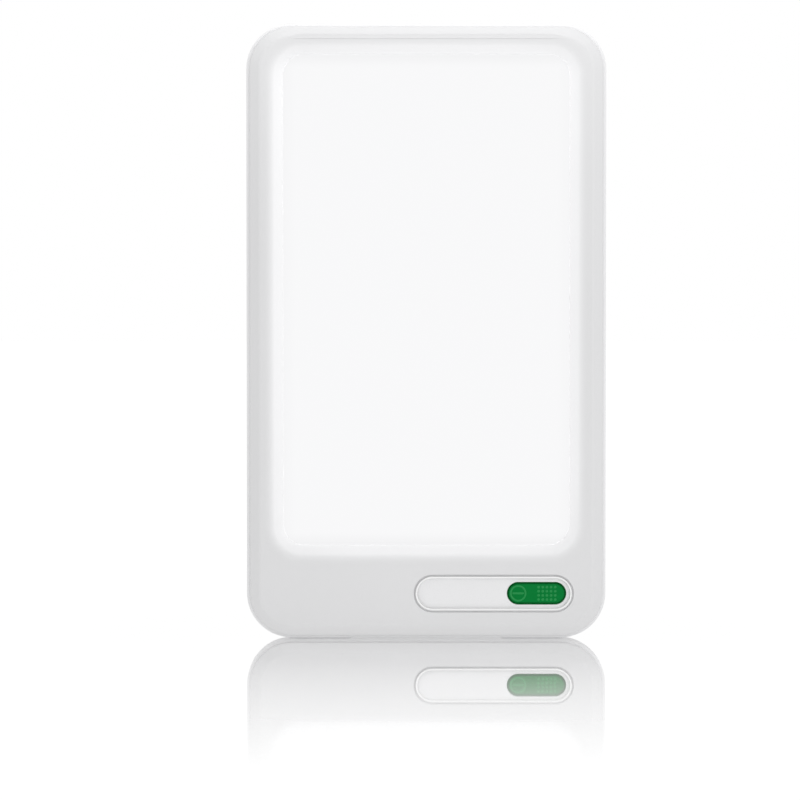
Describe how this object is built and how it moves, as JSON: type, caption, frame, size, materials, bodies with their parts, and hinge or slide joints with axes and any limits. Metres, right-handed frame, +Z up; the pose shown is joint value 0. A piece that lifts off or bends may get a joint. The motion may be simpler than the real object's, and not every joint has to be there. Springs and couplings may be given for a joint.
{
  "type": "light therapy lamp",
  "caption": "Slim upright light therapy lamp: rounded white housing, recessed glowing panel, slide switch with a green grip, and a leg that folds out behind.",
  "frame": {"origin": "on the ground under the middle of the whole standing lamp, leg included", "axes": "+X to the right as the user faces the lamp, +Y towards the back and the leg, +Z up; the lit face looks along -Y"},
  "size_m": [0.152, 0.0698, 0.26],
  "materials": {
    "bezel_abs": "satin white moulded ABS",
    "opal_acrylic": "opal acrylic, lit from behind",
    "diffuser_film": "frosted polyester film",
    "clear_acrylic": "clear acrylic with a printed dot pattern",
    "reflector_film": "white reflector film",
    "aluminium_plate": "rolled sheet",
    "strip_board": "white solder-masked strip",
    "led_phosphor": "phosphor-coated diode",
    "ring_abs": "polished white ABS",
    "carriage_abs": "satin white moulded ABS",
    "green_abs": "green moulded ABS",
    "magnet": "nickel-plated magnet",
    "tray_plastic": "natural acetal",
    "circuit_board": "solder-masked glass epoxy",
    "chip_epoxy": "black moulding compound",
    "capacitor_sleeve": "shrunk sleeve",
    "ferrite": "ferrite core",
    "connector_nylon": "natural nylon",
    "socket_plastic": "black moulded socket",
    "contact_brass": "nickel-plated brass",
    "shell_abs": "satin white moulded ABS",
    "rubber": "moulded rubber",
    "steel": "zinc-plated steel"
  },
  "bodies": {
    "housing": {"front_bezel": "bezel_abs", "diffuser_panel": "opal_acrylic", "diffuser_film": "diffuser_film", "light_guide": "clear_acrylic", "reflector_sheet": "reflector_film", "heat_plate": "aluminium_plate", "led_strip_left": "strip_board", "led_strip_right": "strip_board", "leds_left": "led_phosphor", "leds_right": "led_phosphor", "switch_trim_ring": "ring_abs", "switch_tray": "tray_plastic", "driver_board": "circuit_board", "hall_sensor": "chip_epoxy", "capacitors": "capacitor_sleeve", "inductor": "ferrite", "driver_chips": "chip_epoxy", "led_connectors": "connector_nylon", "dc_jack_housing": "socket_plastic", "dc_jack_pin": "contact_brass", "rear_shell": "shell_abs", "base_pads": "rubber", "stand_hinge_pin": "steel", "hinge_washers": "steel", "housing_screws": "steel", "plate_screws": "steel", "tray_screws": "steel", "board_screws": "steel"},
    "slider": {"switch_carriage": "carriage_abs", "switch_grip": "green_abs", "switch_magnet": "magnet"},
    "leg": {"stand_leg": "shell_abs", "stand_foot": "rubber"}
  },
  "joints": [
    {"name": "switch_slide", "type": "slide", "parent": "housing", "child": "slider", "axis": [-1, 0, 0], "range_m": [0, 0.0363]},
    {"name": "leg_hinge", "type": "hinge", "parent": "housing", "child": "leg", "pos_m": [0, -0.01571, 0.08], "axis": [1, 0, 0], "range_deg": [0, 148]}
  ]
}
